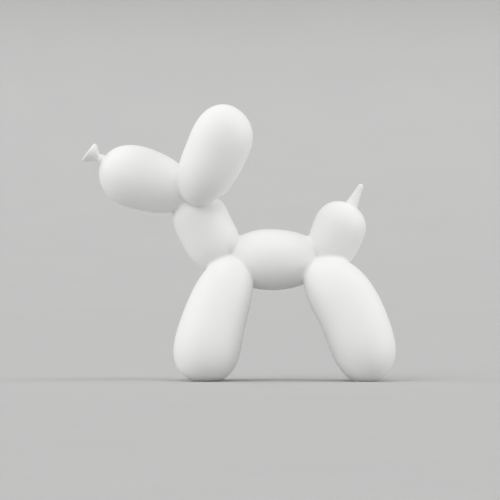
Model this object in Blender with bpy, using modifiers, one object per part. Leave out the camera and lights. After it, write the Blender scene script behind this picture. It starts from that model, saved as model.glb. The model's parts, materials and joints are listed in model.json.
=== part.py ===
"""Balloon dog sculpture: a small cast ornament in the shape of a dog twisted from one long balloon.

The dog is one solid, balloon_dog. It is made of ten round bubbles that meet at three twists: the head, the
shoulder and the hip. A tied knot sits on the nose, and the balloon's spare end stands on the tail. The dog
looks along -X, so its left side is at -Y, and it stands on four soles cut flat at z = 0.

Sizes are in metres. The origin is on the floor, under the middle of the dog's box.
"""

from dataclasses import dataclass
from math import cos, pi, radians, sin, sqrt

import bmesh
import bpy
from mathutils import Matrix, Vector

# The three twists: heights above the floor, and distances along the dog
SHOULDER_HEIGHT = 0.0970
HIP_HEIGHT = 0.0971
BODY_SPAN = 0.0692
NECK_REACH = 0.0311
NECK_RISE = 0.0501

# Where each free bubble ends: how far forward or back of its twist, and how far above it
MUZZLE_REACH = 0.0743
MUZZLE_RISE = 0.0217
EAR_REACH = 0.0358
EAR_RISE = 0.0702
TAIL_REACH = 0.0265
TAIL_RISE = 0.0441
FRONT_FOOT_REACH = 0.0284
HIND_FOOT_REACH = 0.0401

# The legs' round ends would reach this far below the floor, and are cut off flat there
FRONT_SOLE_TRIM = 0.0003
HIND_SOLE_TRIM = 0.0014

# Where a bubble starts, from its twist: towards the tail, and up. It starts inside its neighbours.
MUZZLE_ROOT = (0.0011, -0.0029)
EAR_ROOT = (-0.0066, -0.0017)
NECK_ROOT = (-0.0040, -0.0025)
TAIL_ROOT = (0.0054, -0.0084)
FRONT_LEG_ROOT = (0.0120, -0.0012)
HIND_LEG_ROOT = (-0.0028, -0.0027)

# Radius of each bubble at its middle
MUZZLE_RADIUS = 0.0247
EAR_RADIUS = 0.0242
NECK_RADIUS = 0.0221
BODY_RADIUS = 0.0241
TAIL_RADIUS = 0.0208
FRONT_LEG_RADIUS = 0.0253
HIND_LEG_RADIUS = 0.0258

# How blunt a bubble's ends are: 2 gives an ellipse, and more gives straighter sides
MUZZLE_FULLNESS = 2.47
EAR_FULLNESS = 2.92
NECK_FULLNESS = 3.98
BODY_FULLNESS = 3.18
TAIL_FULLNESS = 2.73
FRONT_LEG_FULLNESS = 3.58
HIND_LEG_FULLNESS = 3.87

# How much fatter a bubble's far half is than its root half, as a share of its radius
MUZZLE_TAPER = 0.137
EAR_TAPER = 0.103
NECK_TAPER = 0.025
BODY_TAPER = -0.046
TAIL_TAPER = 0.095
FRONT_LEG_TAPER = 0.159
HIND_LEG_TAPER = 0.038

# How far a bubble's middle stands off the straight line between its ends. Seen from the dog's left side and
# turned so that the bubble starts below and ends above, a positive value bows it to the left.
MUZZLE_BOW = -0.0037
EAR_BOW = -0.0036
NECK_BOW = 0.0022
BODY_BOW = -0.0003
TAIL_BOW = 0.0013
FRONT_LEG_BOW = -0.0054
HIND_LEG_BOW = 0.0095

# How far the ears and the front legs swing off that bow, one way in their far half and back in the other
EAR_SWAY = 0.0040
FRONT_LEG_SWAY = 0.0059

# The two ears, like the two legs of a pair, are pressed together at their twist and part at their ends
EAR_PRESS = 0.0065
EAR_TIP_GAP = 0.0032
EAR_SPLAY = 0.0010
LEG_PRESS = 0.0160
FOOT_GAP = 0.0040
LEG_SPLAY = 0.0045

# The casting is solid where bubbles meet: a ball near each twist fills the narrow channels that round ends
# leave between them. Its middle, from the twist: towards the tail, and up.
HEAD_CORE = (0.0030, 0.0085)
SHOULDER_CORE = (-0.0070, -0.0030)
HIP_CORE = (-0.0050, -0.0080)
CORE_RADIUS = 0.0120

# The knot on the nose: its ring, pinch and flared lip, and its place on the top of the muzzle
KNOT_ALONG_MUZZLE = 0.969
KNOT_TILT = radians(32.5)
KNOT_STANDOFF = 0.0008
KNOT_ROOT_DEPTH = 0.0075
KNOT_RING_RADIUS = 0.0043
KNOT_RING_THICKNESS = 0.0026
KNOT_PINCH_RADIUS = 0.0034
KNOT_FLARE_LENGTH = 0.0076
KNOT_LIP_RADIUS = 0.0083
KNOT_LIP_THICKNESS = 0.0028
KNOT_FUNNEL_DEPTH = 0.0026
KNOT_LIP_ARC = (radians(110), radians(-50))
KNOT_RING_ARC = (radians(60), radians(-70))

# The spare end on the tail, a slim cone with a round tip
SPARE_END_LENGTH = 0.0179
SPARE_END_BASE_RADIUS = 0.0049
SPARE_END_TIP_RADIUS = 0.0021
SPARE_END_ROOT_DEPTH = 0.0060
SPARE_END_TILT = radians(59.5)

# Mesh finesse
BUBBLE_SIDES = 26
BUBBLE_RINGS = 16
TURNED_SIDES = 20
CORE_SIDES = 14
CORE_RINGS = 8
ARC_STEPS = 5
FLARE_STEPS = 5
POLE_MERGE = 0.00001
CREASE_ANGLE = radians(25)
CUTTER_MARGIN = 0.02

MATTE_WHITE = (0.86, 0.86, 0.85, 1.0)
MATTE_WHITE_ROUGHNESS = 0.6

ACROSS = Vector((0, 1, 0))


@dataclass(frozen=True)
class Bubble:
    """A round section of balloon about a bowed middle line from its root to its tip."""

    root: Vector
    tip: Vector
    radius: float
    fullness: float
    taper: float
    bow: float
    sway: float = 0.0
    splay: float = 0.0

    def bow_side(self):
        """The direction, in the dog's side view, that a positive bow goes."""
        return (self.tip - self.root).cross(ACROSS).normalized()

    def centre(self, along):
        """The middle line's point at along, from -1 at the root to 1 at the tip."""
        straight = self.root.lerp(self.tip, (1 + along) / 2)
        offset = self.bow * (1 - along**2) + self.sway * (along - along**3)
        return straight + self.bow_side() * offset + ACROSS * self.splay * (1 - along**2)

    def heading(self, along):
        """The middle line's direction at along."""
        straight = (self.tip - self.root) / 2
        slope = self.sway * (1 - 3 * along**2) - 2 * self.bow * along
        return (straight + self.bow_side() * slope - ACROSS * self.splay * 2 * along).normalized()

    def girth(self, along):
        """The radius at along."""
        closing = max(0.0, 1 - abs(along) ** self.fullness)
        return self.radius * (1 + self.taper * along) * sqrt(closing)

    def skin(self, along, bowed, near):
        """The skin's point at along, in the direction with these shares to the bow's side and to -Y."""
        heading = self.heading(along)
        bow_side = heading.cross(ACROSS).normalized()
        near_side = heading.cross(bow_side)
        return self.centre(along) + (bow_side * bowed + near_side * near) * self.girth(along)


def matte_white_lacquer():
    """The one finish of the casting."""
    lacquer = bpy.data.materials.new("matte_white_lacquer")
    lacquer.use_nodes = True
    shader = lacquer.node_tree.nodes["Principled BSDF"]
    shader.inputs["Base Color"].default_value = MATTE_WHITE
    shader.inputs["Roughness"].default_value = MATTE_WHITE_ROUGHNESS
    shader.inputs["Metallic"].default_value = 0.0
    lacquer.diffuse_color = MATTE_WHITE
    return lacquer


def new_collection(name):
    """An empty collection in the scene."""
    collection = bpy.data.collections.new(name)
    bpy.context.scene.collection.children.link(collection)
    return collection


def new_object(name, mesh, collection):
    """An object for the mesh, in the collection."""
    shape = bpy.data.objects.new(name, mesh)
    collection.objects.link(shape)
    return shape


def mark_helpers(collection):
    """Keeps the cutters, or the pieces that are joined into the dog, out of the render."""
    for shape in collection.objects:
        shape.hide_render = True
        shape.display_type = "WIRE"


def add_bubble(name, bubble, collection):
    """A sphere with its circles laid about the bubble's middle line.

    It is turned by half a side, so that no edge lies in the dog's middle plane, where the pairs meet.
    """
    mesh = bpy.data.meshes.new(name)
    shape = bmesh.new()
    half_side = Matrix.Rotation(pi / BUBBLE_SIDES, 4, "Z")
    bmesh.ops.create_uvsphere(
        shape, u_segments=BUBBLE_SIDES, v_segments=BUBBLE_RINGS, radius=1.0, matrix=half_side
    )
    for vertex in shape.verts:
        around = Vector(vertex.co.xy)
        if around.length > POLE_MERGE:
            around.normalize()
        vertex.co = bubble.skin(vertex.co.z, around.x, around.y)
    bmesh.ops.triangulate(shape, faces=shape.faces)
    shape.to_mesh(mesh)
    shape.free()
    return new_object(name, mesh, collection)


def add_core(name, twist, offset, collection):
    """The ball near a twist, turned by half a side as the bubbles are."""
    mesh = bpy.data.meshes.new(name)
    ball = bmesh.new()
    place = Matrix.Translation(twist + Vector((offset[0], 0, offset[1])))
    half_side = Matrix.Rotation(pi / CORE_SIDES, 4, "Z")
    bmesh.ops.create_uvsphere(
        ball, u_segments=CORE_SIDES, v_segments=CORE_RINGS, radius=CORE_RADIUS, matrix=place @ half_side
    )
    bmesh.ops.triangulate(ball, faces=ball.faces)
    ball.to_mesh(mesh)
    ball.free()
    return new_object(name, mesh, collection)


def add_turned(name, profile, foot, direction, collection):
    """A profile of (radius, height) points, top to bottom, turned about the line from foot in direction."""
    mesh = bpy.data.meshes.new(name)
    points = [(radius, 0, height) for radius, height in profile]
    mesh.from_pydata(points, [(step, step + 1) for step in range(len(points) - 1)], [])
    shape = new_object(name, mesh, collection)
    shape.location = foot
    shape.rotation_mode = "QUATERNION"
    shape.rotation_quaternion = Vector((0, 0, 1)).rotation_difference(direction)
    turn = shape.modifiers.new("turn", "SCREW")
    turn.steps = TURNED_SIDES
    turn.render_steps = TURNED_SIDES
    turn.use_merge_vertices = True
    turn.merge_threshold = POLE_MERGE
    return shape


def arc(middle, radius, turns):
    """Points (radius, height) of an arc about middle, between two angles from the outward direction."""
    start, end = turns
    turns = [start + (end - start) * step / ARC_STEPS for step in range(ARC_STEPS + 1)]
    return [(middle[0] + radius * cos(turn), middle[1] + radius * sin(turn)) for turn in turns]


def knot_profile():
    """The knot's outline, from the middle of its funnel over lip, flare, pinch and ring to its root.

    Height 0 is at the muzzle's skin.
    """
    lip_bead = KNOT_LIP_THICKNESS / 2
    ring_bead = KNOT_RING_THICKNESS / 2
    ring_height = KNOT_STANDOFF + ring_bead
    pinch_height = ring_height + KNOT_RING_THICKNESS
    lip_height = pinch_height + KNOT_FLARE_LENGTH
    funnel = [(0.0, lip_height + lip_bead - KNOT_FUNNEL_DEPTH)]
    lip = arc((KNOT_LIP_RADIUS - lip_bead, lip_height), lip_bead, KNOT_LIP_ARC)
    flare_radius, flare_height = lip[-1]
    flare = []
    for step in range(1, FLARE_STEPS + 1):
        share = step / FLARE_STEPS
        easing = (1 + cos(pi * share)) / 2
        radius = KNOT_PINCH_RADIUS + (flare_radius - KNOT_PINCH_RADIUS) * easing
        flare.append((radius, flare_height + (pinch_height - flare_height) * share))
    stem_radius = KNOT_RING_RADIUS - ring_bead
    ring = arc((stem_radius, ring_height), ring_bead, KNOT_RING_ARC)
    root = [(stem_radius, -KNOT_ROOT_DEPTH), (0.0, -KNOT_ROOT_DEPTH)]
    return funnel + lip + flare + ring + root


def spare_end_profile():
    """From the round tip down the cone to its root. Height 0 is at the tail's skin."""
    tip_height = SPARE_END_LENGTH - SPARE_END_TIP_RADIUS
    slope = (SPARE_END_BASE_RADIUS - SPARE_END_TIP_RADIUS) / tip_height
    tip = arc((0.0, tip_height), SPARE_END_TIP_RADIUS, (pi / 2, slope))
    root_radius = SPARE_END_BASE_RADIUS + slope * SPARE_END_ROOT_DEPTH
    root = [(root_radius, -SPARE_END_ROOT_DEPTH), (0.0, -SPARE_END_ROOT_DEPTH)]
    return [(0.0, SPARE_END_LENGTH)] + tip[1:] + root


def single_bubbles(head, shoulder, hip):
    """The bubbles in the dog's middle plane, by name."""
    return {
        "body": Bubble(shoulder, hip, BODY_RADIUS, BODY_FULLNESS, BODY_TAPER, BODY_BOW),
        "neck": Bubble(
            shoulder + Vector((NECK_ROOT[0], 0, NECK_ROOT[1])),
            head,
            NECK_RADIUS,
            NECK_FULLNESS,
            NECK_TAPER,
            NECK_BOW,
        ),
        "muzzle": Bubble(
            head + Vector((MUZZLE_ROOT[0], 0, MUZZLE_ROOT[1])),
            head + Vector((-MUZZLE_REACH, 0, MUZZLE_RISE)),
            MUZZLE_RADIUS,
            MUZZLE_FULLNESS,
            MUZZLE_TAPER,
            MUZZLE_BOW,
        ),
        "tail": Bubble(
            hip + Vector((TAIL_ROOT[0], 0, TAIL_ROOT[1])),
            hip + Vector((TAIL_REACH, 0, TAIL_RISE)),
            TAIL_RADIUS,
            TAIL_FULLNESS,
            TAIL_TAPER,
            TAIL_BOW,
        ),
    }


def paired_bubbles(head, shoulder, hip, side):
    """The ear and the two legs of one side, by name. Side is -1 for the dog's left and 1 for its right."""
    word = "left" if side < 0 else "right"
    ear_root = side * (EAR_RADIUS - EAR_PRESS)
    ear_tip = side * (EAR_RADIUS + EAR_TIP_GAP / 2)
    front_root = side * (FRONT_LEG_RADIUS - LEG_PRESS)
    front_foot = side * (FRONT_LEG_RADIUS + FOOT_GAP / 2)
    hind_root = side * (HIND_LEG_RADIUS - LEG_PRESS)
    hind_foot = side * (HIND_LEG_RADIUS + FOOT_GAP / 2)
    return {
        f"{word}_ear": Bubble(
            head + Vector((EAR_ROOT[0], ear_root, EAR_ROOT[1])),
            head + Vector((EAR_REACH, ear_tip, EAR_RISE)),
            EAR_RADIUS,
            EAR_FULLNESS,
            EAR_TAPER,
            EAR_BOW,
            EAR_SWAY,
            side * EAR_SPLAY,
        ),
        f"{word}_front_leg": Bubble(
            shoulder + Vector((FRONT_LEG_ROOT[0], front_root, FRONT_LEG_ROOT[1])),
            Vector((shoulder.x - FRONT_FOOT_REACH, front_foot, -FRONT_SOLE_TRIM)),
            FRONT_LEG_RADIUS,
            FRONT_LEG_FULLNESS,
            FRONT_LEG_TAPER,
            FRONT_LEG_BOW,
            FRONT_LEG_SWAY,
            side * LEG_SPLAY,
        ),
        f"{word}_hind_leg": Bubble(
            hip + Vector((HIND_LEG_ROOT[0], hind_root, HIND_LEG_ROOT[1])),
            Vector((hip.x + HIND_FOOT_REACH, hind_foot, -HIND_SOLE_TRIM)),
            HIND_LEG_RADIUS,
            HIND_LEG_FULLNESS,
            HIND_LEG_TAPER,
            HIND_LEG_BOW,
            0.0,
            side * LEG_SPLAY,
        ),
    }


def add_floor_cutter(leg, collection):
    """A block under the floor, wider than the leg, that takes the leg's round end off flat."""
    corners = [vertex.co for vertex in leg.data.vertices]
    low = Vector([min(corner[axis] for corner in corners) - CUTTER_MARGIN for axis in range(3)])
    high = Vector([max(corner[axis] for corner in corners) + CUTTER_MARGIN for axis in range(3)])
    high.z = 0.0
    mesh = bpy.data.meshes.new(f"{leg.name}_floor_cutter")
    block = bmesh.new()
    place = Matrix.LocRotScale((low + high) / 2, None, high - low)
    bmesh.ops.create_cube(block, size=1.0, matrix=place)
    block.to_mesh(mesh)
    block.free()
    cutter = new_object(mesh.name, mesh, collection)
    cut = leg.modifiers.new("sole", "BOOLEAN")
    cut.operation = "DIFFERENCE"
    cut.solver = "EXACT"
    cut.object = cutter


def join(shape, pieces):
    """Makes one solid of the shape and every piece in the collection."""
    union = shape.modifiers.new("join", "BOOLEAN")
    union.operation = "UNION"
    union.solver = "EXACT"
    union.operand_type = "COLLECTION"
    union.collection = pieces


def settle(shape):
    """Makes the modifiers' result the shape's own mesh, with its box centred over the origin."""
    graph = bpy.context.evaluated_depsgraph_get()
    mesh = bpy.data.meshes.new_from_object(shape.evaluated_get(graph))
    shape.modifiers.clear()
    shape.data = mesh
    ends = [vertex.co.x for vertex in mesh.vertices]
    mesh.transform(Matrix.Translation((-(min(ends) + max(ends)) / 2, 0, 0)))
    mesh.shade_smooth()
    mesh.set_sharp_from_angle(angle=CREASE_ANGLE)


def main():
    """Builds the dog from its bubbles, knot and spare end."""
    for leftover in list(bpy.data.objects):
        bpy.data.objects.remove(leftover)
    part = new_collection("balloon_dog_sculpture")
    pieces = new_collection("joined_pieces")
    cutters = new_collection("cutters")

    shoulder = Vector((0, 0, SHOULDER_HEIGHT))
    hip = Vector((BODY_SPAN, 0, HIP_HEIGHT))
    head = shoulder + Vector((-NECK_REACH, 0, NECK_RISE))
    bubbles = single_bubbles(head, shoulder, hip)
    for side in (-1, 1):
        bubbles |= paired_bubbles(head, shoulder, hip, side)

    dog = add_bubble("balloon_dog", bubbles.pop("body"), part)
    for name, bubble in bubbles.items():
        piece = add_bubble(name, bubble, pieces)
        if name.endswith("leg"):
            add_floor_cutter(piece, cutters)
    add_core("head_core", head, HEAD_CORE, pieces)
    add_core("shoulder_core", shoulder, SHOULDER_CORE, pieces)
    add_core("hip_core", hip, HIP_CORE, pieces)
    nose_top = bubbles["muzzle"].skin(KNOT_ALONG_MUZZLE, -1, 0)
    knot_direction = Vector((-cos(KNOT_TILT), 0, sin(KNOT_TILT)))
    add_turned("knot", knot_profile(), nose_top, knot_direction, pieces)
    spare_direction = Vector((cos(SPARE_END_TILT), 0, sin(SPARE_END_TILT)))
    add_turned("spare_end", spare_end_profile(), bubbles["tail"].tip, spare_direction, pieces)
    mark_helpers(pieces)
    mark_helpers(cutters)

    join(dog, pieces)
    dog.data.materials.append(matte_white_lacquer())
    bpy.context.view_layer.update()
    settle(dog)


main()
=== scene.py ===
"""Balloon dog sculpture: the dressed model of a small ornament, cast in resin and sprayed matte white.

The dog is twisted from one long balloon, so it is modelled bubble by bubble: ten round sections about bowed
middle lines, which meet at three twists and are fused there as the casting is, with the tied knot on the nose
and the balloon's spare end on the tail. Sizes are in metres, with +Z up, and the dog looks along -X.
"""

import json
import logging
from collections.abc import Callable, Sequence
from dataclasses import dataclass
from enum import Enum
from math import atan2, cos, pi, radians, sin, sqrt
from typing import Any

import bmesh
import bpy
from mathutils import Euler, Matrix, Vector
from mathutils.bvhtree import BVHTree

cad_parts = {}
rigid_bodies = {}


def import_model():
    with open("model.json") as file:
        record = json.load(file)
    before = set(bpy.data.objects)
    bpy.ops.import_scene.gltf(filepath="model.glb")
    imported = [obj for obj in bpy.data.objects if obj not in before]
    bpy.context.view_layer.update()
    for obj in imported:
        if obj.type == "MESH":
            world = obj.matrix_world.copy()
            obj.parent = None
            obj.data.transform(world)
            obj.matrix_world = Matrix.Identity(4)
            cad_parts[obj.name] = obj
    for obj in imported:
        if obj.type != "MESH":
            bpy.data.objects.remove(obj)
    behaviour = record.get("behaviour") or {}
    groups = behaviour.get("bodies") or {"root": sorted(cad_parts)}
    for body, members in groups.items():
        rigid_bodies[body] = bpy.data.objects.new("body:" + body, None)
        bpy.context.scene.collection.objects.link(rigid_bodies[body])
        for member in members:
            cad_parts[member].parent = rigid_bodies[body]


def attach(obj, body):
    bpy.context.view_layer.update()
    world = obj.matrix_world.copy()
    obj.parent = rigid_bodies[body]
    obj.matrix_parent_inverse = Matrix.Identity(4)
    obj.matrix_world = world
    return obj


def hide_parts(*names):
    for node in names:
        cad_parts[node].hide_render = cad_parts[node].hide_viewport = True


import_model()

NODE = "balloon_dog"
BODY = "root"
MILLIMETRE = 0.001
ACROSS = Vector((0, 1, 0))

log = logging.getLogger("balloon_dog")


class Twist(Enum):
    """The three places where the balloon is twisted, and bubbles meet."""

    HEAD = "head"
    SHOULDER = "shoulder"
    HIP = "hip"


@dataclass(frozen=True)
class Skeleton:
    """Where the three twists are: the shoulder above the floor, and the other two from it."""

    shoulder_x: float = -0.005763
    shoulder_height: float = 0.0970
    hip_height: float = 0.0971
    body_span: float = 0.0692
    neck_reach: float = 0.0311
    neck_rise: float = 0.0501

    def place(self, twist: Twist) -> Vector:
        """Finds a twist.

        Args:
            twist: Which of the three.

        Returns:
            Its middle.
        """
        shoulder = Vector((self.shoulder_x, 0, self.shoulder_height))
        if twist is Twist.HEAD:
            return shoulder + Vector((-self.neck_reach, 0, self.neck_rise))
        if twist is Twist.HIP:
            return Vector((self.shoulder_x + self.body_span, 0, self.hip_height))
        return shoulder


@dataclass(frozen=True)
class Ring:
    """A circle across a middle line: its middle, the line's direction there, and its radius."""

    centre: Vector
    heading: Vector
    radius: float


@dataclass(frozen=True)
class Form:
    """A bubble's form, whatever its place.

    The sub-assembly that it is in gives its place. There, a root or tip of two numbers says how far back and
    up from its twist that end is set.

    Attributes:
        radius: Radius at its middle.
        fullness: How blunt its ends are: 2 gives an ellipse, and more gives straighter sides.
        taper: How much fatter its far half is than its root half, as a share of its radius.
        bow: How far its middle stands off the straight line between its ends, in the dog's side view.
        sway: How far it swings off that bow, one way in its far half and back in the other.
        splay: How far its middle stands out sideways from that line.
    """

    radius: float
    fullness: float
    taper: float
    bow: float
    sway: float = 0.0
    splay: float = 0.0


@dataclass(frozen=True)
class Bubble:
    """A round section of balloon from its root to its tip. Along runs from -1 to 1 between them."""

    root: Vector
    tip: Vector
    form: Form

    def bow_side(self) -> Vector:
        """Returns the direction, in the dog's side view, that a positive bow goes."""
        return (self.tip - self.root).cross(ACROSS).normalized()

    def centre(self, along: float) -> Vector:
        """Finds a point of the middle line.

        Args:
            along: How far along it, from -1 to 1.

        Returns:
            The point.
        """
        straight = self.root.lerp(self.tip, (1 + along) / 2)
        offset = self.form.bow * (1 - along**2) + self.form.sway * (along - along**3)
        return straight + self.bow_side() * offset + ACROSS * self.form.splay * (1 - along**2)

    def heading(self, along: float) -> Vector:
        """Finds the middle line's direction at a point of it.

        Args:
            along: How far along it, from -1 to 1.

        Returns:
            The direction, of length 1.
        """
        straight = (self.tip - self.root) / 2
        slope = self.form.sway * (1 - 3 * along**2) - 2 * self.form.bow * along
        return (straight + self.bow_side() * slope - ACROSS * self.form.splay * 2 * along).normalized()

    def girth(self, along: float) -> float:
        """Returns the radius at along."""
        closing = max(0.0, 1 - abs(along) ** self.form.fullness)
        return self.form.radius * (1 + self.form.taper * along) * sqrt(closing)

    def bow_edge(self, along: float, side: int) -> Vector:
        """Finds where the skin meets the dog's middle plane.

        Args:
            along: How far along the middle line, from -1 to 1.
            side: 1 for the side that a positive bow goes, or -1 for the other.

        Returns:
            The skin's point there.
        """
        outward = self.heading(along).cross(ACROSS).normalized()
        return self.centre(along) + outward * side * self.girth(along)

    def rings(self, count: int) -> list[Ring]:
        """Sets circles along the middle line, closer together towards the round ends.

        Args:
            count: How many.

        Returns:
            The circles, from the root to the tip.
        """
        turns = [pi * (number + 0.5) / count for number in range(count)]
        alongs = [-cos(turn) for turn in turns]
        return [Ring(self.centre(along), self.heading(along), self.girth(along)) for along in alongs]


def uneven(number: int, stride: float) -> float:
    """Returns a value from -1 to 1 that varies as if by chance, but is the same in each run."""
    return sin(stride * number)


def only(shape: bpy.types.Object) -> None:
    """Makes a shape the one that is selected and active, in object mode.

    Args:
        shape: The object.
    """
    if bpy.context.object and bpy.context.object.mode != "OBJECT":
        bpy.ops.object.mode_set(mode="OBJECT")
    bpy.ops.object.select_all(action="DESELECT")
    bpy.context.view_layer.objects.active = shape
    shape.select_set(True)


def start_shape(name: str) -> bpy.types.Object:
    """Starts an empty mesh at the origin, in edit mode.

    Args:
        name: The object's name.

    Returns:
        The object.
    """
    if bpy.context.object and bpy.context.object.mode != "OBJECT":
        bpy.ops.object.mode_set(mode="OBJECT")
    bpy.ops.object.select_all(action="DESELECT")
    bpy.ops.object.add(type="MESH", enter_editmode=True, location=(0, 0, 0))
    shape = bpy.context.object
    shape.name = name
    shape.data.name = name
    return shape


def select_newest(shape: bpy.types.Object, count: int) -> None:
    """Selects the points that were added last, in edit mode, as well as what is selected.

    Args:
        shape: The object being edited.
        count: How many points.
    """
    mesh = bmesh.from_edit_mesh(shape.data)
    mesh.verts.ensure_lookup_table()
    for vert in mesh.verts[-count:]:
        vert.select_set(True)
    mesh.select_flush_mode()
    bmesh.update_edit_mesh(shape.data, loop_triangles=False, destructive=False)


def select_where(shape: bpy.types.Object, test: Callable[[Vector], bool], extend: bool = False) -> int:
    """Selects the points whose place passes a test, in edit mode.

    Args:
        shape: The object being edited.
        test: Says of a place whether its point is wanted.
        extend: Whether what is selected already stays so.

    Returns:
        How many were selected.
    """
    mesh = bmesh.from_edit_mesh(shape.data)
    for vert in mesh.verts:
        vert.select_set(test(vert.co) or (extend and vert.select))
    mesh.select_flush_mode()
    bmesh.update_edit_mesh(shape.data)
    return sum(vert.select for vert in mesh.verts)


def loft(name: str, rings: Sequence[Ring], sides: int, folded: bool = False) -> bpy.types.Object:
    """Models a closed skin over circles: they are added at their places and bridged, and the ends filled.

    Args:
        name: The object's name.
        rings: The circles, in order.
        sides: How many sides each circle has.
        folded: Whether the skin turns back into itself, so that each circle is bridged to the last one alone.

    Returns:
        The skin, in object mode.
    """
    shape = start_shape(name)
    for number, ring in enumerate(rings):
        right = ACROSS.cross(ring.heading).normalized()
        turn = Matrix((right, ring.heading.cross(right), ring.heading)).transposed()
        bpy.ops.mesh.primitive_circle_add(
            vertices=sides, radius=ring.radius, location=ring.centre, rotation=turn.to_euler()
        )
        if folded and number:
            select_newest(shape, 2 * sides)
            bpy.ops.mesh.bridge_edge_loops()
    bpy.ops.mesh.select_all(action="SELECT")
    if not folded:
        bpy.ops.mesh.bridge_edge_loops()
        bpy.ops.mesh.select_all(action="SELECT")
    bpy.ops.mesh.fill_holes(sides=0)
    bpy.ops.mesh.normals_make_consistent(inside=False)
    bpy.ops.object.mode_set(mode="OBJECT")
    return shape


def finish_with(shape: bpy.types.Object, kind: str, settings: dict[str, Any]) -> None:
    """Adds a modifier to the shape and applies it.

    Args:
        shape: The object.
        kind: The modifier's type.
        settings: Its properties, by name.
    """
    only(shape)
    bpy.ops.object.modifier_add(type=kind)
    modifier = shape.modifiers[-1]
    for key, value in settings.items():
        setattr(modifier, key, value)
    bpy.ops.object.modifier_apply(modifier=modifier.name)


@dataclass(frozen=True)
class Shell:
    """A closed skin, and how wide a fillet it makes where it meets others."""

    skin: bpy.types.Object
    softness: float


class Blend:
    """Where the casting's surface runs: on the nearest skin, and in a soft fillet where two are near.

    It is read from the distances to the skins. Where two that cross squarely are equally near, the surface
    stands off both by a quarter of the smaller softness, and it is back on the skins where they are that
    softness apart. The fillet is up to twice as wide in a crevice, where the skins face each other.

    Attributes:
        reach: How near a skin has to be to count.
        touching: How near a place is to a skin when the skin's own normal gives the direction away from it.
        least_slope: The least squared slope that a move is worked out with, so that none runs away.
        longest_step: The longest move.
    """

    reach: float = 0.004
    touching: float = 0.00001
    least_slope: float = 0.05
    longest_step: float = 0.0004

    def __init__(self, shells: Sequence[Shell]) -> None:
        """Takes up the shells.

        Args:
            shells: All the skins.
        """
        graph = bpy.context.evaluated_depsgraph_get()
        self.trees: list[tuple[BVHTree, float]] = [
            (BVHTree.FromObject(shell.skin, graph), shell.softness) for shell in shells
        ]

    def measure(self, place: Vector) -> tuple[float, Vector, float]:
        """Measures how far a place is from the blended surface.

        Args:
            place: The place.

        Returns:
            The height above the surface, the direction in which it grows, and how blended the surface is
            there, from 0 on a single skin to 1 in the bottom of a crease.
        """
        near = []
        for tree, softness in self.trees:
            point, normal, _, distance = tree.find_nearest(place, self.reach)
            if point is None:
                continue
            outward = place - point
            side = 1 if outward.dot(normal) >= 0 else -1
            slope = outward.normalized() * side if distance > self.touching else normal
            near.append((side * distance, slope, softness))
        near.sort(key=lambda found: found[0])
        height, slope, softness = near[0]
        blended = 0.0
        for other_height, other_slope, other_softness in near[1:]:
            width = min(softness, other_softness) * (1 - slope.normalized().dot(other_slope))
            overlap = width - (other_height - height)
            if overlap <= 0:
                continue
            share = min(1.0, overlap / width)
            height -= share**2 * width / 4
            slope = slope.lerp(other_slope, share / 2)
            blended = max(blended, share)
        return height, slope, blended

    def settle(self, place: Vector, steps: int) -> Vector:
        """Moves a place onto the blended surface.

        Args:
            place: The place.
            steps: How many moves to make.

        Returns:
            The place on the surface.
        """
        for _ in range(steps):
            height, slope, _ = self.measure(place)
            move = slope * (-height / max(self.least_slope, slope.length_squared))
            if move.length > self.longest_step:
                move *= self.longest_step / move.length
            place = place + move
        return place


@dataclass(frozen=True)
class Head:
    """The muzzle and the left ear, which spring from the head's twist. The right ear mirrors the left."""

    muzzle: Form = Form(radius=0.0247, fullness=2.47, taper=0.137, bow=-0.0037)
    muzzle_root: tuple[float, float] = (0.0011, -0.0029)
    muzzle_reach: float = 0.0743
    muzzle_rise: float = 0.0217
    ear: Form = Form(radius=0.0242, fullness=2.92, taper=0.103, bow=-0.0036, sway=0.0040, splay=-0.0010)
    ear_root: tuple[float, float] = (-0.0066, -0.0017)
    ear_reach: float = 0.0358
    ear_rise: float = 0.0702
    ear_press: float = 0.0065
    ear_tip_gap: float = 0.0032

    def muzzle_bubble(self, twist: Vector) -> Bubble:
        """Returns the muzzle, which runs forward from the twist."""
        root = twist + Vector((self.muzzle_root[0], 0, self.muzzle_root[1]))
        return Bubble(root, twist + Vector((-self.muzzle_reach, 0, self.muzzle_rise)), self.muzzle)

    def left_ear(self, twist: Vector) -> Bubble:
        """Places the left ear, pressed against the right one at its root.

        Args:
            twist: The head's twist.

        Returns:
            The ear.
        """
        beside = self.ear.radius - self.ear_press
        apart = self.ear.radius + self.ear_tip_gap / 2
        root = twist + Vector((self.ear_root[0], -beside, self.ear_root[1]))
        return Bubble(root, twist + Vector((self.ear_reach, -apart, self.ear_rise)), self.ear)


@dataclass(frozen=True)
class Trunk:
    """The neck and the body, between the three twists."""

    neck: Form = Form(radius=0.0221, fullness=3.98, taper=0.025, bow=0.0022)
    neck_root: tuple[float, float] = (-0.0040, -0.0025)
    body: Form = Form(radius=0.0243, fullness=2.26, taper=-0.066, bow=-0.0026)
    body_root: tuple[float, float] = (-0.0040, 0.0025)
    body_tip: tuple[float, float] = (0.0057, 0.0022)

    def neck_bubble(self, shoulder: Vector, head: Vector) -> Bubble:
        """Returns the neck, which runs up from the shoulder to the head."""
        return Bubble(shoulder + Vector((self.neck_root[0], 0, self.neck_root[1])), head, self.neck)

    def body_bubble(self, shoulder: Vector, hip: Vector) -> Bubble:
        """Returns the body, which runs back from the shoulder to the hip."""
        root = shoulder + Vector((self.body_root[0], 0, self.body_root[1]))
        return Bubble(root, hip + Vector((self.body_tip[0], 0, self.body_tip[1])), self.body)


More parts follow.
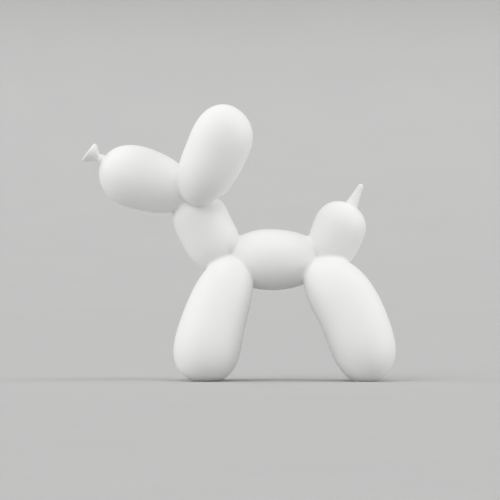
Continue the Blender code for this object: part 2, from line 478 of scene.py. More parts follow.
@dataclass(frozen=True)
class Legs:
    """The left front leg and the left hind leg. The right ones mirror them.

    The legs of a pair are pressed together at their twist, and their feet stand a little apart. A foot's
    height is that of its round end's tip, and the floor cuts the sole.
    """

    front: Form = Form(radius=0.0254, fullness=3.71, taper=0.160, bow=-0.0052, sway=0.0005, splay=-0.0060)
    front_root: tuple[float, float] = (0.0075, 0.0)
    front_foot_reach: float = 0.0237
    front_foot_height: float = -0.0014
    hind: Form = Form(radius=0.0260, fullness=3.59, taper=0.020, bow=0.0106, sway=-0.0088, splay=-0.0060)
    hind_root: tuple[float, float] = (-0.0088, -0.0087)
    hind_foot_reach: float = 0.0476
    hind_foot_height: float = 0.0003
    press: float = 0.0205
    foot_gap: float = 0.0040

    def left_front(self, shoulder: Vector) -> Bubble:
        """Places the left front leg, which reaches forward to its foot.

        Args:
            shoulder: The shoulder's twist.

        Returns:
            The leg.
        """
        root = shoulder + Vector((self.front_root[0], self.press - self.front.radius, self.front_root[1]))
        apart = -self.front.radius - self.foot_gap / 2
        foot = Vector((shoulder.x - self.front_foot_reach, apart, self.front_foot_height))
        return Bubble(root, foot, self.front)

    def left_hind(self, hip: Vector) -> Bubble:
        """Places the left hind leg, which reaches back to its foot.

        Args:
            hip: The hip's twist.

        Returns:
            The leg.
        """
        root = hip + Vector((self.hind_root[0], self.press - self.hind.radius, self.hind_root[1]))
        apart = -self.hind.radius - self.foot_gap / 2
        foot = Vector((hip.x + self.hind_foot_reach, apart, self.hind_foot_height))
        return Bubble(root, foot, self.hind)


@dataclass(frozen=True)
class Rump:
    """The upright tail, and the balloon's spare end on it: a slim cone with a round tip."""

    tail: Form = Form(radius=0.0208, fullness=2.73, taper=0.095, bow=0.0013)
    tail_root: tuple[float, float] = (0.0054, -0.0084)
    tail_reach: float = 0.0265
    tail_rise: float = 0.0441
    spare_length: float = 0.0179
    spare_base_radius: float = 0.0049
    spare_tip_radius: float = 0.0021
    spare_root_depth: float = 0.0060
    spare_setback: float = 0.0010
    spare_surroundings: float = 1.5
    spare_tilt: float = radians(63.5)
    cone_rings: int = 16
    tip_rings: int = 9

    def tail_bubble(self, hip: Vector) -> Bubble:
        """Returns the tail, which stands up from the hip."""
        root = hip + Vector((self.tail_root[0], 0, self.tail_root[1]))
        return Bubble(root, hip + Vector((self.tail_reach, 0, self.tail_rise)), self.tail)

    def spare_end_axis(self, hip: Vector) -> tuple[Vector, Vector]:
        """Returns the middle of the spare end's foot, and the direction it points in."""
        foot = self.tail_bubble(hip).tip + Vector((self.spare_setback, 0, 0))
        return foot, Vector((cos(self.spare_tilt), 0, sin(self.spare_tilt)))

    def at_spare_end(self, hip: Vector) -> Callable[[Vector], bool]:
        """Describes the space of the spare end and of its surroundings, the fillet round its foot.

        Args:
            hip: The hip's twist.

        Returns:
            A test of places.
        """
        foot, heading = self.spare_end_axis(hip)
        reach = self.spare_surroundings * self.spare_base_radius

        def inside(place: Vector) -> bool:
            """Says whether a place is in that space.

            Args:
                place: The place.

            Returns:
                Whether it is.
            """
            height = (place - foot).dot(heading)
            away = (place - foot - heading * height).length
            return height > -self.spare_base_radius and away < reach

        return inside

    def spare_end_rings(self, hip: Vector) -> list[Ring]:
        """Sets the circles of the spare end, from inside the tail up to its round tip.

        Args:
            hip: The hip's twist.

        Returns:
            The circles.
        """
        foot, heading = self.spare_end_axis(hip)
        tip_height = self.spare_length - self.spare_tip_radius
        slope = (self.spare_base_radius - self.spare_tip_radius) / tip_height
        rings = []
        for number in range(self.cone_rings):
            share = number / self.cone_rings
            height = -self.spare_root_depth + (tip_height + self.spare_root_depth) * share
            rings.append(Ring(foot + heading * height, heading, self.spare_base_radius - slope * height))
        for number in range(self.tip_rings):
            turn = pi / 2 * number / self.tip_rings
            height = tip_height + self.spare_tip_radius * sin(turn)
            rings.append(Ring(foot + heading * height, heading, self.spare_tip_radius * cos(turn)))
        return rings


@dataclass(frozen=True)
class Knot:
    """The tied end on the nose: a soft bead against the muzzle, a pinched neck, and a flared, rolled lip.

    Heights run out from the muzzle's skin. A fillet carries the bead into the nose, the circles lean back
    towards the lip, and the rubber is gathered in soft pleats where it is pinched. Arcs are in degrees, from
    the first to the second. A pleat wanders by a share of the space between two, and ends below the lip by
    pleat_end times its thickness, give or take the spread. The clearance, a share of the pinch's radius,
    keeps the throat free of it.
    """

    along_muzzle: float = 0.969
    tilt: float = radians(32.5)
    lift: float = 0.0002
    root_tilt: float = radians(22.5)
    lip_tilt: float = radians(37)
    root_depth: float = 0.0030
    root_fillet: float = 0.0020
    nose_curve: float = 0.0160
    collar_radius: float = 0.0040
    bead_radius: float = 0.0042
    bead_size: float = 0.0017
    bead_height: float = 0.0015
    pinch_radius: float = 0.0032
    pinch_height: float = 0.0036
    lip_radius: float = 0.00845
    lip_thickness: float = 0.0029
    lip_height: float = 0.0119
    funnel_depth: float = 0.0064
    throat_radius: float = 0.0010
    sides: int = 96
    bead_arc: tuple[int, int] = (-40, 45)
    lip_arc: tuple[int, int] = (-50, 140)
    arc_steps: int = 10
    flare_steps: int = 22
    funnel_steps: int = 14
    rounding: int = 2
    pleats: int = 9
    pleat_depth: float = 0.00020
    pleat_width: float = 0.0008
    pleat_wander: float = 0.3
    pleat_wander_stride: float = 2.4
    pleat_end: float = 1.1
    pleat_end_spread: float = 0.5
    pleat_end_stride: float = 1.7
    pleat_clearance: float = 0.9

    def root_outline(self) -> list[tuple[float, float]]:
        """Draws the fillet from inside the nose up to the bead.

        Returns:
            Points (radius, height).
        """
        middle_radius = self.collar_radius + self.root_fillet
        reach = self.nose_curve + self.root_fillet
        middle_height = sqrt(reach**2 - middle_radius**2) - self.nose_curve
        turn_in = atan2(middle_radius, middle_height + self.nose_curve)
        outline = [(middle_radius, -self.root_depth)]
        for step in range(self.arc_steps):
            turn = turn_in + (pi / 2 - turn_in) * step / self.arc_steps
            radius = middle_radius - self.root_fillet * sin(turn)
            outline.append((radius, middle_height - self.root_fillet * cos(turn)))
        return outline

    def arc_turn(self, arc: tuple[int, int], step: int) -> float:
        """Returns how far round an arc, in radians, one of its steps is."""
        return radians(arc[0] + (arc[1] - arc[0]) * step / self.arc_steps)

    def profile(self) -> list[tuple[float, float]]:
        """Draws the knot's outline from its root over bead, pinch, flare and lip into the funnel.

        Returns:
            Points (radius, height).
        """
        outline = self.root_outline()
        half = self.bead_size / 2
        for step in range(self.arc_steps + 1):
            turn = self.arc_turn(self.bead_arc, step)
            radius = self.bead_radius - half + half * cos(turn)
            outline.append((radius, self.bead_height + half * sin(turn)))
        waist_radius, waist_height = outline[-1]
        for step in range(1, self.arc_steps):
            share = step / self.arc_steps
            easing = (1 - cos(pi * share)) / 2
            radius = waist_radius + (self.pinch_radius - waist_radius) * easing
            outline.append((radius, waist_height + (self.pinch_height - waist_height) * share))
        bead = self.lip_thickness / 2
        bead_middle = self.lip_radius - bead
        lip_start = self.arc_turn(self.lip_arc, 0)
        flare_end = (bead_middle + bead * cos(lip_start), self.lip_height + bead * sin(lip_start))
        for step in range(self.flare_steps):
            share = step / self.flare_steps
            easing = (1 - cos(pi * share)) / 2
            radius = self.pinch_radius + (flare_end[0] - self.pinch_radius) * easing
            outline.append((radius, self.pinch_height + (flare_end[1] - self.pinch_height) * share))
        for step in range(self.arc_steps + 1):
            turn = self.arc_turn(self.lip_arc, step)
            outline.append((bead_middle + bead * cos(turn), self.lip_height + bead * sin(turn)))
        rim_radius, rim_height = outline[-1]
        for step in range(1, self.funnel_steps + 1):
            share = step / self.funnel_steps
            radius = rim_radius + (self.throat_radius - rim_radius) * sin(pi / 2 * share)
            outline.append((radius, rim_height - self.funnel_depth * share**2))
        return self.rounded(outline)

    def rounded(self, outline: list[tuple[float, float]]) -> list[tuple[float, float]]:
        """Eases the outline's corners: each pass moves a point halfway to the middle of its neighbours.

        Args:
            outline: Points (radius, height).

        Returns:
            The eased points.
        """
        for _ in range(self.rounding):
            inner = [
                ((before[0] + 2 * here[0] + after[0]) / 4, (before[1] + 2 * here[1] + after[1]) / 4)
                for before, here, after in zip(outline, outline[1:], outline[2:])
            ]
            outline = [outline[0], *inner, outline[-1]]
        return outline

    def foot(self, muzzle: Bubble) -> Vector:
        """Returns the place on the nose where heights are zero."""
        return muzzle.bow_edge(self.along_muzzle, -1) + self.upward() * self.lift

    def axis(self) -> Vector:
        """Returns the direction that the knot points in."""
        return Vector((-cos(self.tilt), 0, sin(self.tilt)))

    def upward(self) -> Vector:
        """Returns the direction across the knot, towards its upper side."""
        return Vector((sin(self.tilt), 0, cos(self.tilt)))

    def rings(self, muzzle: Bubble) -> list[Ring]:
        """Sets the knot's circles on the nose, leaning back from the root to the lip.

        Args:
            muzzle: The bubble that the knot sits on.

        Returns:
            The circles, from the root to the throat.
        """
        rings = []
        for radius, height in self.profile():
            share = min(1.0, (height + self.root_depth) / (self.lip_height + self.root_depth))
            turn = self.root_tilt + (self.lip_tilt - self.root_tilt) * share
            centre = self.foot(muzzle) + self.axis() * height
            rings.append(Ring(centre, Vector((-cos(turn), 0, sin(turn))), radius))
        return rings

    def build(self, muzzle: Bubble) -> bpy.types.Object:
        """Models the knot, then presses in its pleats along the flare.

        Args:
            muzzle: The bubble that the knot sits on.

        Returns:
            The knot, sunk in the muzzle by its root.
        """
        shape = loft("knot", self.rings(muzzle), self.sides, folded=True)
        only(shape)
        bpy.ops.object.mode_set(mode="EDIT")
        for number in range(self.pleats):
            wander = self.pleat_wander * uneven(number, self.pleat_wander_stride)
            middle = round(self.sides * (number + wander) / self.pleats)
            below_lip = self.pleat_end + self.pleat_end_spread * uneven(number, self.pleat_end_stride)
            end = self.lip_height - self.lip_thickness * below_lip
            if select_where(shape, self.pleat_line(muzzle, middle, end)):
                bpy.ops.transform.shrink_fatten(
                    value=-self.pleat_depth,
                    use_proportional_edit=True,
                    proportional_edit_falloff="SMOOTH",
                    proportional_size=self.pleat_width,
                )
        bpy.ops.object.mode_set(mode="OBJECT")
        return shape

    def pleat_line(self, muzzle: Bubble, side: int, end: float) -> Callable[[Vector], bool]:
        """Describes one pleat's bottom line, along the flare.

        Args:
            muzzle: The bubble that the knot sits on.
            side: Which of the knot's sides it lies on, counted from the upper one.
            end: The height where the pleat runs out.

        Returns:
            A test of places for select_where.
        """
        foot, axis, upward = self.foot(muzzle), self.axis(), self.upward()
        start = self.pinch_height - self.bead_size / 2
        middle = 2 * pi * side / self.sides

        def on_line(place: Vector) -> bool:
            """Says whether a place is on that line.

            Args:
                place: The place.

            Returns:
                Whether it is.
            """
            offset = place - foot
            height = offset.dot(axis)
            flat = offset - axis * height
            if not start < height < end or flat.length < self.pinch_radius * self.pleat_clearance:
                return False
            away = (atan2(flat.dot(ACROSS), flat.dot(upward)) - middle + pi) % (2 * pi) - pi
            return abs(away) < pi / self.sides

        return on_line


@dataclass(frozen=True)
class Core:
    """The casting's solid middles: a ball near each twist fills the channels between the round ends."""

    head: tuple[float, float] = (0.0030, 0.0085)
    shoulder: tuple[float, float] = (-0.0070, -0.0030)
    hip: tuple[float, float] = (-0.0050, -0.0080)
    radius: float = 0.0120
    sides: int = 96
    rings: int = 48

    def build(self, skeleton: Skeleton) -> list[bpy.types.Object]:
        """Adds the three balls.

        Args:
            skeleton: Where the twists are.

        Returns:
            The balls.
        """
        balls = []
        offsets = {Twist.HEAD: self.head, Twist.SHOULDER: self.shoulder, Twist.HIP: self.hip}
        for twist, offset in offsets.items():
            bpy.ops.object.select_all(action="DESELECT")
            bpy.ops.mesh.primitive_uv_sphere_add(
                segments=self.sides,
                ring_count=self.rings,
                radius=self.radius,
                location=skeleton.place(twist) + Vector((offset[0], 0, offset[1])),
            )
            bpy.ops.object.transform_apply(location=True, rotation=True, scale=True)
            balls.append(bpy.context.object)
        return balls


@dataclass(frozen=True)
class Casting:
    """The whole dog as one skin.

    The bubbles' skins are united, laid on an even grid, drawn back onto their true forms and given small
    fillets in the creases, as a sprayed casting has. Then the soles are cut flat and the knot is joined on.

    Attributes:
        grid: The width of the grid's cells. Those along the creases are halved.
        hollow_angle: How far a hollow edge bends to count as a crease.
        refined_reach: How many cells on each side of a crease are halved and settled.
        fine_edge: The longest edge left on the spare end.
        crisp: How wide the fillets are at the head and the spare end.
        soft: How wide they are elsewhere.
        evening_passes: Pairs of reach and repeats, to even out the cells along the creases.
        settling_passes: Repeats of evening before each settling onto the fillets.
    """

    skeleton: Skeleton = Skeleton()
    head: Head = Head()
    trunk: Trunk = Trunk()
    legs: Legs = Legs()
    rump: Rump = Rump()
    knot: Knot = Knot()
    core: Core = Core()
    bubble_sides: int = 128
    bubble_rings: int = 96
    spare_end_sides: int = 64
    grid: float = 0.00165
    hollow_angle: float = radians(12)
    refined_reach: int = 3
    fine_edge: float = 0.0006
    first_passes: int = 2
    crisp: float = 0.0024
    soft: float = 0.0028
    evening_passes: tuple[tuple[int, int], ...] = ((3, 6), (2, 6), (1, 6))
    settling_passes: tuple[int, ...] = (1, 2)
    settling_steps: int = 6
    smoothing: float = 0.5
    cut_tolerance: float = 0.00001
    shading_angle: float = radians(38)

    def shells(self) -> list[Shell]:
        """Models every bubble's own skin, each closed, running into its neighbours.

        Returns:
            The skins: crisp ones at the head and the spare end, and soft ones elsewhere.
        """
        head, shoulder, hip = (self.skeleton.place(twist) for twist in Twist)
        middle = {
            "muzzle": (self.head.muzzle_bubble(head), self.crisp),
            "neck": (self.trunk.neck_bubble(shoulder, head), self.soft),
            "body": (self.trunk.body_bubble(shoulder, hip), self.soft),
            "tail": (self.rump.tail_bubble(hip), self.soft),
        }
        left = {
            "ear": (self.head.left_ear(head), self.crisp),
            "front_leg": (self.legs.left_front(shoulder), self.soft),
            "hind_leg": (self.legs.left_hind(hip), self.soft),
        }
        shells = [
            Shell(self.bubble_skin(name, bubble), softness) for name, (bubble, softness) in middle.items()
        ]
        for name, (bubble, softness) in left.items():
            skin = self.bubble_skin(f"left_{name}", bubble)
            shells += [Shell(skin, softness), Shell(self.mirrored(skin, f"right_{name}"), softness)]
        spare_end = loft("spare_end", self.rump.spare_end_rings(hip), self.spare_end_sides)
        shells.append(Shell(spare_end, self.crisp))
        return shells + [Shell(ball, self.crisp) for ball in self.core.build(self.skeleton)]

    def bubble_skin(self, name: str, bubble: Bubble) -> bpy.types.Object:
        """Models one bubble's skin and reports it.

        Args:
            name: The bubble's name.
            bubble: Its place and form.

        Returns:
            The skin.
        """
        log.info("bubble %s: %.0f mm round", name, 2 * bubble.form.radius / MILLIMETRE)
        return loft(name, bubble.rings(self.bubble_rings), self.bubble_sides)

    def mirrored(self, skin: bpy.types.Object, name: str) -> bpy.types.Object:
        """Copies a left skin to the dog's right side.

        Args:
            skin: The left skin.
            name: The copy's name.

        Returns:
            The copy, with its own mesh and its faces outward.
        """
        only(skin)
        bpy.ops.object.duplicate()
        copy = bpy.context.object
        copy.name = name
        bpy.ops.object.mode_set(mode="EDIT")
        bpy.ops.mesh.select_all(action="SELECT")
        bpy.ops.transform.mirror(constraint_axis=(False, True, False), center_override=(0, 0, 0))
        bpy.ops.mesh.normals_make_consistent(inside=False)
        bpy.ops.object.mode_set(mode="OBJECT")
        return copy

    def fuse(self, shells: Sequence[Shell]) -> bpy.types.Object:
        """Makes one closed skin round all the bubbles, with a grid twice as fine along the creases.

        Args:
            shells: The bubbles. Their skins are used up.

        Returns:
            The fused skin.
        """
        form = shells[0].skin
        for shell in shells[1:]:
            finish_with(form, "BOOLEAN", {"operation": "UNION", "solver": "MANIFOLD", "object": shell.skin})
            bpy.data.objects.remove(shell.skin)
        log.info("bubbles united: %d faces", len(form.data.polygons))
        only(form)
        bpy.ops.object.duplicate()
        fused = bpy.context.object
        finish_with(fused, "REMESH", {"mode": "VOXEL", "voxel_size": self.grid, "adaptivity": 0.0})
        for _ in range(2):
            bpy.ops.object.mode_set(mode="EDIT")
            bpy.ops.mesh.select_all(action="SELECT")
            bpy.ops.mesh.vertices_smooth(factor=self.smoothing, repeat=self.first_passes)
            bpy.ops.object.mode_set(mode="OBJECT")
            finish_with(fused, "SHRINKWRAP", {"target": form, "wrap_method": "NEAREST_SURFACEPOINT"})
        bpy.data.objects.remove(form)
        bpy.ops.object.mode_set(mode="EDIT")
        bpy.ops.mesh.select_mode(type="VERT")
        self.select_hollows(fused, self.refined_reach)
        bpy.ops.mesh.subdivide(number_cuts=1)
        for _ in range(2):
            self.refine_spare_end(fused)
        bpy.ops.object.mode_set(mode="OBJECT")
        return fused

    def refine_spare_end(self, fused: bpy.types.Object) -> None:
        """Halves the longer edges of the spare end, whose tip is only a few millimetres thick.

        Args:
            fused: The fused skin, in edit mode.
        """
        at_spare_end = self.rump.at_spare_end(self.skeleton.place(Twist.HIP))
        select_where(fused, at_spare_end)
        bpy.ops.mesh.quads_convert_to_tris()
        bpy.ops.mesh.select_all(action="DESELECT")
        bpy.ops.mesh.select_mode(type="EDGE")
        mesh = bmesh.from_edit_mesh(fused.data)
        for edge in mesh.edges:
            if edge.calc_length() > self.fine_edge and at_spare_end(edge.verts[0].co):
                edge.select_set(True)
        bmesh.update_edit_mesh(fused.data)
        bpy.ops.mesh.subdivide(number_cuts=1)
        bpy.ops.mesh.select_mode(type="VERT")

    def select_hollows(self, fused: bpy.types.Object, reach: int) -> None:
        """Selects the creases, where the skin is hollow, and what lies beside them.

        Args:
            fused: The fused skin, in edit mode.
            reach: How many cells on each side are taken in.
        """
        mesh = bmesh.from_edit_mesh(fused.data)
        for vert in mesh.verts:
            vert.select_set(False)
        for edge in mesh.edges:
            if edge.is_manifold and edge.calc_face_angle_signed() < -self.hollow_angle:
                for vert in edge.verts:
                    vert.select_set(True)
        mesh.select_flush_mode()
        bmesh.update_edit_mesh(fused.data)
        for _ in range(reach):
            bpy.ops.mesh.select_more()

    def roll_fillets(self, fused: bpy.types.Object, blend: Blend) -> None:
        """Rolls small fillets into the creases, and marks how deep in a crease each point is, which sets the
        painted shade there.

        Args:
            fused: The fused skin.
            blend: Where the surface runs.
        """
        only(fused)
        bpy.ops.object.mode_set(mode="EDIT")
        for reach, passes in self.evening_passes:
            self.select_hollows(fused, reach)
            bpy.ops.mesh.vertices_smooth(factor=self.smoothing, repeat=passes)
        self.select_hollows(fused, self.refined_reach)
        at_spare_end = self.rump.at_spare_end(self.skeleton.place(Twist.HIP))
        select_where(fused, at_spare_end, extend=True)
        near_crease = [vert.select for vert in bmesh.from_edit_mesh(fused.data).verts]
        for passes in self.settling_passes:
            bpy.ops.mesh.vertices_smooth(factor=self.smoothing, repeat=passes)
            bpy.ops.object.mode_set(mode="OBJECT")
            for vert, near in zip(fused.data.vertices, near_crease):
                if near:
                    vert.co = blend.settle(vert.co, self.settling_steps)
            bpy.ops.object.mode_set(mode="EDIT")
        bpy.ops.object.mode_set(mode="OBJECT")
        # How deep in a crease each point is: the finish paints shade into the creases by it.
        depths = [
            blend.measure(vert.co)[2] if near else 0.0
            for vert, near in zip(fused.data.vertices, near_crease)
        ]
        fused.data.attributes.new("crease", "FLOAT", "POINT").data.foreach_set("value", depths)

    def cut_soles(self, fused: bpy.types.Object) -> None:
        """Cuts the feet off flat at the floor and closes the soles.

        Args:
            fused: The fused skin.
        """
        only(fused)
        bpy.ops.object.mode_set(mode="EDIT")
        bpy.ops.mesh.select_all(action="SELECT")
        bpy.ops.mesh.bisect(
            plane_co=(0, 0, 0),
            plane_no=(0, 0, 1),
            use_fill=True,
            clear_inner=True,
            threshold=self.cut_tolerance,
        )
        bpy.ops.mesh.select_all(action="SELECT")
        bpy.ops.mesh.normals_make_consistent(inside=False)
        bpy.ops.object.mode_set(mode="OBJECT")

    def add_knot(self, fused: bpy.types.Object) -> None:
        """Models the knot and fuses it with the nose.

        Args:
            fused: The fused skin.
        """
        knot = self.knot.build(self.head.muzzle_bubble(self.skeleton.place(Twist.HEAD)))
        finish_with(fused, "BOOLEAN", {"operation": "UNION", "solver": "EXACT", "object": knot})
        bpy.data.objects.remove(knot)

    def build(self) -> bpy.types.Object:
        """Builds the casting.

        Returns:
            The finished piece.
        """
        shells = self.shells()
        blend = Blend(shells)
        fused = self.fuse(shells)
        log.info("bubbles fused: %d faces", len(fused.data.polygons))
        self.roll_fillets(fused, blend)
        log.info("fillets rolled")
        self.cut_soles(fused)
        self.add_knot(fused)
        log.info("soles cut and knot joined")
        fused.name = "casting"
        fused.data.name = "casting"
        only(fused)
        bpy.ops.object.shade_smooth_by_angle(angle=self.shading_angle)
        return fused

    def dress(self, casting: bpy.types.Object, finish: bpy.types.Material) -> None:
        """Gives the casting its one finish."""
        casting.data.materials.clear()
        casting.data.materials.append(finish)


def linear(colour: str) -> tuple[float, float, float, float]:
    """Turns an sRGB hex colour to Blender's linear one.

    Args:
        colour: The colour, such as "#F0EFEC".

    Returns:
        Red, green, blue and an alpha of 1.
    """
    shares = [int(colour[at : at + 2], 16) / 255 for at in (1, 3, 5)]
    red, green, blue = (
        share / 12.92 if share <= 0.04045 else ((share + 0.055) / 1.055) ** 2.4 for share in shares
    )
    return red, green, blue, 1.0


def add_node(
    tree: bpy.types.NodeTree,
    kind: str,
    settings: dict[str, Any] | None = None,
    values: dict[str | int, Any] | None = None,
    links: dict[str | int, bpy.types.NodeSocket] | None = None,
) -> bpy.types.Node:
    """Adds a node with its settings and links.

    Args:
        tree: The material's nodes.
        kind: The node's type.
        settings: Its properties, by name.
        values: Constant inputs, by name or number.
        links: Inputs that come from other nodes' outputs, by name or number.

    Returns:
        The node.
    """
    node = tree.nodes.new(kind)
    for key, value in (settings or {}).items():
        setattr(node, key, value)
    for key, value in (values or {}).items():
        node.inputs[key].default_value = value
    for key, socket in (links or {}).items():
        tree.links.new(socket, node.inputs[key])
    return node


@dataclass(frozen=True)
class MatteLacquer:
    """Matte white acrylic lacquer, sprayed over cast polyester resin.

    It gives the eye an even, chalky white without a highlight. Close up there is the faint orange peel of a
    sprayed coat and the tooth of its matting powder. The creases are painted a little greyer, as painted
    shade, and the sanded soles show the warmer resin. A refraction of 1.49 is that of acrylic.
    """

    white: str = "#EFEFED"
    shade_white: str = "#E9E9E8"
    # Painted shade: the colour that the deepest creases are painted, a little darker than the coat.
    painted_crease_shade: str = "#E5E5E3"
    bare_resin: str = "#D9D2C3"
    roughness: float = 0.62
    sole_roughness: float = 0.85
    specular: float = 0.35
    sheen: float = 0.12
    sheen_roughness: float = 0.5
    refraction: float = 1.49
    cloud_size: float = 0.045
    # Orange peel is 1 to 4 mm across and a few thousandths of a millimetre high. The powder's tooth is a few
    # hundredths across in fact, and is drawn 0.7 mm across, as coarse as it needs to show.
    peel_size: float = 0.0026
    peel_height: float = 0.000006
    grain_size: float = 0.0007
    grain_height: float = 0.0000035
    sole_height: float = 0.00025

    def build(self) -> bpy.types.Material:
        """Makes the material.

        Returns:
            The material.
        """
        material = bpy.data.materials.new("matte_white_lacquer_sprayed")
        material.use_nodes = True
        tree = material.node_tree
        tree.nodes.clear()
        place = add_node(tree, "ShaderNodeTexCoord").outputs["Object"]
        tone = self.tone(tree, place)
        bare = self.bare_soles(tree, place)
        colour = add_node(
            tree,
            "ShaderNodeMix",
            {"data_type": "RGBA"},
            {7: linear(self.bare_resin)},
            {0: bare, 6: tone},
        ).outputs[2]
        roughness = add_node(
            tree,
            "ShaderNodeMapRange",
            {},
            {"To Min": self.roughness, "To Max": self.sole_roughness},
            {"Value": bare},
        ).outputs["Result"]
        shader = add_node(
            tree,
            "ShaderNodeBsdfPrincipled",
            {},
            {
                "Metallic": 0.0,
                "IOR": self.refraction,
                "Specular IOR Level": self.specular,
                "Sheen Weight": self.sheen,
                "Sheen Roughness": self.sheen_roughness,
            },
            {"Base Color": colour, "Roughness": roughness, "Normal": self.relief(tree, place)},
        )
        add_node(tree, "ShaderNodeOutputMaterial", {}, {}, {"Surface": shader.outputs["BSDF"]})
        return material

    def tone(self, tree: bpy.types.NodeTree, place: bpy.types.NodeSocket) -> bpy.types.NodeSocket:
        """Makes the coat's colour: faint broad clouds, and painted shade that greys the creases.

        Args:
            tree: The material's nodes.
            place: The object's coordinates.

        Returns:
            The colour.
        """
        clouds = add_node(
            tree,
            "ShaderNodeTexNoise",
            {},
            {"Scale": 1 / self.cloud_size, "Detail": 2.0, "Roughness": 0.4},
            {"Vector": place},
        ).outputs["Fac"]
        coat = add_node(
            tree,
            "ShaderNodeMix",
            {"data_type": "RGBA"},
            {6: linear(self.white), 7: linear(self.shade_white)},
            {0: clouds},
        ).outputs[2]
        crease = add_node(tree, "ShaderNodeAttribute", {"attribute_name": "crease"}).outputs["Fac"]
        # Painted shade: the deeper a point lies in a crease, the more it takes the painted crease shade.
        return add_node(
            tree,
            "ShaderNodeMix",
            {"data_type": "RGBA"},
            {7: linear(self.painted_crease_shade)},
            {0: crease, 6: coat},
        ).outputs[2]

    def bare_soles(self, tree: bpy.types.NodeTree, place: bpy.types.NodeSocket) -> bpy.types.NodeSocket:
        """Makes a mask of the sanded soles, 1 on the floor and 0 above them.

        Args:
            tree: The material's nodes.
            place: The object's coordinates.

        Returns:
            The mask.
        """
        height = add_node(tree, "ShaderNodeSeparateXYZ", {}, {}, {"Vector": place}).outputs["Z"]
        return add_node(
            tree,
            "ShaderNodeMapRange",
            {},
            {"From Min": 0.0, "From Max": self.sole_height, "To Min": 1.0, "To Max": 0.0},
            {"Value": height},
        ).outputs["Result"]

    def relief(self, tree: bpy.types.NodeTree, place: bpy.types.NodeSocket) -> bpy.types.NodeSocket:
        """Makes the sprayed coat's orange peel, and the matting powder's tooth, which is drawn coarser.

        Args:
            tree: The material's nodes.
            place: The object's coordinates.

        Returns:
            The normal.
        """
        peel = add_node(
            tree,
            "ShaderNodeTexNoise",
            {},
            {"Scale": 1 / self.peel_size, "Detail": 1.0, "Roughness": 0.5},
            {"Vector": place},
        ).outputs["Fac"]
        grain = add_node(
            tree,
            "ShaderNodeTexNoise",
            {},
            {"Scale": 1 / self.grain_size, "Detail": 2.0, "Roughness": 0.6},
            {"Vector": place},
        ).outputs["Fac"]
        peeled = add_node(
            tree, "ShaderNodeBump", {}, {"Strength": 1.0, "Distance": self.peel_height}, {"Height": peel}
        ).outputs["Normal"]
        return add_node(
            tree,
            "ShaderNodeBump",
            {},
            {"Strength": 1.0, "Distance": self.grain_height},
            {"Height": grain, "Normal": peeled},
        ).outputs["Normal"]


@dataclass(frozen=True)
class Softbox:
    """A broad cloth-fronted lamp, far enough off to light the dog and the whole floor evenly.

    Attributes:
        name: Its name.
        azimuth: Where it stands round the dog, in degrees: 0 is the camera's side and -90 the dog's nose.
        elevation: How high it hangs, in degrees above the floor.
        strength: How strong it is.
        breadth: How wide it looks from the dog, in degrees.
    """

    name: str
    azimuth: float
    elevation: float
    strength: float
    breadth: float = 35.0

    def build(self) -> None:
        """Adds the lamp, turned to the dog."""
        around, above = radians(self.azimuth), radians(self.elevation)
        towards = Vector((sin(around) * cos(above), -cos(around) * cos(above), sin(above)))
        turn = towards.to_track_quat("Z", "Y").to_euler()
        bpy.ops.object.light_add(type="SUN", location=towards, rotation=turn)
        lamp = bpy.context.object
        lamp.name = self.name
        lamp.data.energy = self.strength
        lamp.data.angle = radians(self.breadth)


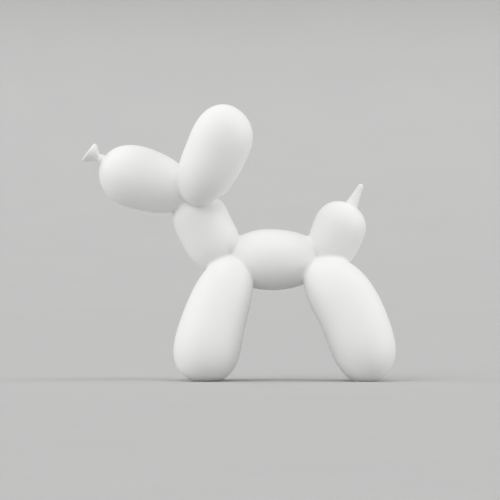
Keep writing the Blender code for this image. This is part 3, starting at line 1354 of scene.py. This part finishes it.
@dataclass(frozen=True)
class Studio:
    """A pale round sweep, softboxes all round, and the camera."""

    sweep_colour: str = "#BCBCBB"
    sweep_shade: str = "#B8B8B8"
    sweep_radius: float = 7.0
    sweep_curve: float = 2.5
    sweep_rise: float = 0.65
    sweep_sides: int = 128
    sweep_steps: int = 24
    mottle_size: float = 0.15
    paper_roughness: float = 0.9
    paper_specular: float = 0.2
    air_colour: str = "#FFFFFF"
    air_strength: float = 0.40
    lens: float = 450.0
    sensor: float = 36.0
    farthest_seen: float = 50.0
    camera_place: tuple[float, float, float] = (0.00946, -5.0, 0.10455)
    softboxes: tuple[Softbox, ...] = (
        Softbox("left_softbox", -90, 8, 1.52, 50),
        Softbox("right_softbox", 90, 8, 1.80, 50),
        Softbox("front_left_softbox", -30, 35, 0.92),
        Softbox("front_right_softbox", 30, 62, 0.80),
        Softbox("back_softbox", -150, 62, 0.38),
    )

    def build_sweep(self) -> None:
        """Lays the floor, which curves up to a low wall all round, far outside the cameras."""
        sweep = start_shape("studio_sweep")
        for step in range(self.sweep_steps + 1):
            turn = pi / 2 * step / self.sweep_steps
            bpy.ops.mesh.primitive_circle_add(
                vertices=self.sweep_sides,
                radius=self.sweep_radius - self.sweep_curve * (1 - sin(turn)),
                location=(0, 0, self.sweep_rise * (1 - cos(turn))),
            )
            if step:
                select_newest(sweep, 2 * self.sweep_sides)
                bpy.ops.mesh.bridge_edge_loops()
        select_where(sweep, lambda point: point.z == 0)
        bpy.ops.mesh.edge_face_add()
        bpy.ops.mesh.select_all(action="SELECT")
        bpy.ops.mesh.normals_make_consistent(inside=True)
        bpy.ops.object.mode_set(mode="OBJECT")
        bpy.ops.object.shade_smooth()
        sweep.data.materials.append(self.sweep_paper())

    def sweep_paper(self) -> bpy.types.Material:
        """Makes the sweep's finish: seamless paper, flat and pale, with a faint mottle.

        Returns:
            The material.
        """
        material = bpy.data.materials.new("seamless_paper")
        material.use_nodes = True
        tree = material.node_tree
        tree.nodes.clear()
        place = add_node(tree, "ShaderNodeTexCoord").outputs["Object"]
        mottle = add_node(
            tree, "ShaderNodeTexNoise", {}, {"Scale": 1 / self.mottle_size, "Detail": 3.0}, {"Vector": place}
        ).outputs["Fac"]
        colour = add_node(
            tree,
            "ShaderNodeMix",
            {"data_type": "RGBA"},
            {6: linear(self.sweep_colour), 7: linear(self.sweep_shade)},
            {0: mottle},
        ).outputs[2]
        shader = add_node(
            tree,
            "ShaderNodeBsdfPrincipled",
            {},
            {"Roughness": self.paper_roughness, "Specular IOR Level": self.paper_specular},
            {"Base Color": colour},
        )
        add_node(tree, "ShaderNodeOutputMaterial", {}, {}, {"Surface": shader.outputs["BSDF"]})
        return material

    def build(self) -> None:
        """Builds the studio."""
        self.build_sweep()
        for softbox in self.softboxes:
            softbox.build()
        world = bpy.data.worlds.new("studio_air")
        world.use_nodes = True
        air = world.node_tree.nodes["Background"]
        air.inputs["Color"].default_value = linear(self.air_colour)
        air.inputs["Strength"].default_value = self.air_strength
        bpy.context.scene.world = world
        bpy.ops.object.camera_add(location=self.camera_place, rotation=Euler((pi / 2, 0, 0)))
        camera = bpy.context.object
        camera.name = "photograph_camera"
        camera.data.lens = self.lens
        camera.data.sensor_width = self.sensor
        camera.data.clip_end = self.farthest_seen
        bpy.context.scene.camera = camera
        bpy.context.scene.view_settings.view_transform = "Standard"


def main() -> None:
    """Builds the studio, then the casting with its finish, and reports each piece."""
    logging.basicConfig(level=logging.INFO, format="%(relativeCreated)d ms, %(name)s: %(message)s")
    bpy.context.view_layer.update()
    studio = Studio()
    studio.build()
    log.info("studio: sweep, %d softboxes and camera", len(studio.softboxes))
    assembly = Casting()
    casting = assembly.build()
    assembly.dress(casting, MatteLacquer().build())
    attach(casting, BODY)
    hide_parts(NODE)
    casting.data.calc_loop_triangles()
    log.info("piece %s: %d triangles", casting.name, len(casting.data.loop_triangles))


if __name__ == "__main__":
    main()
